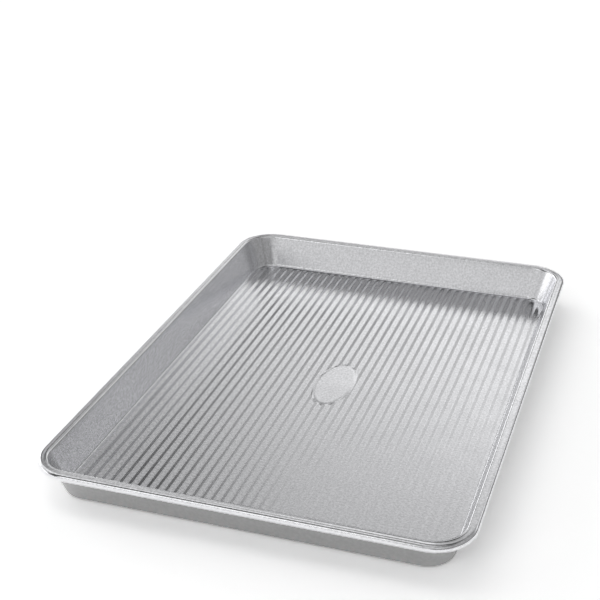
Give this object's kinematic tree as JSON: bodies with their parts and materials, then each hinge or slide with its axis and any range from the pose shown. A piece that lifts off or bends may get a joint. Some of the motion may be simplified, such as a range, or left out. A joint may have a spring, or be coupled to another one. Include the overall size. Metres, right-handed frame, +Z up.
{
  "type": "rimmed baking sheet",
  "caption": "Shallow rectangular baking tray pressed from steel sheet, with a grooved floor, leaning walls and a rim rolled round a stiffening wire.",
  "frame": {"origin": "on the table under the middle of the pan", "axes": "+Z up, +Y along the pan's length and its grooves, +X across the pan"},
  "size_m": [0.269, 0.383, 0.0254],
  "materials": {
    "sheet_steel": "satin aluminised steel with a fine grain and a clear release coat",
    "wire_steel": "plain drawn steel wire"
  },
  "bodies": {
    "root": {"pan_body": "sheet_steel", "rim_wire": "wire_steel"}
  },
  "joints": []
}
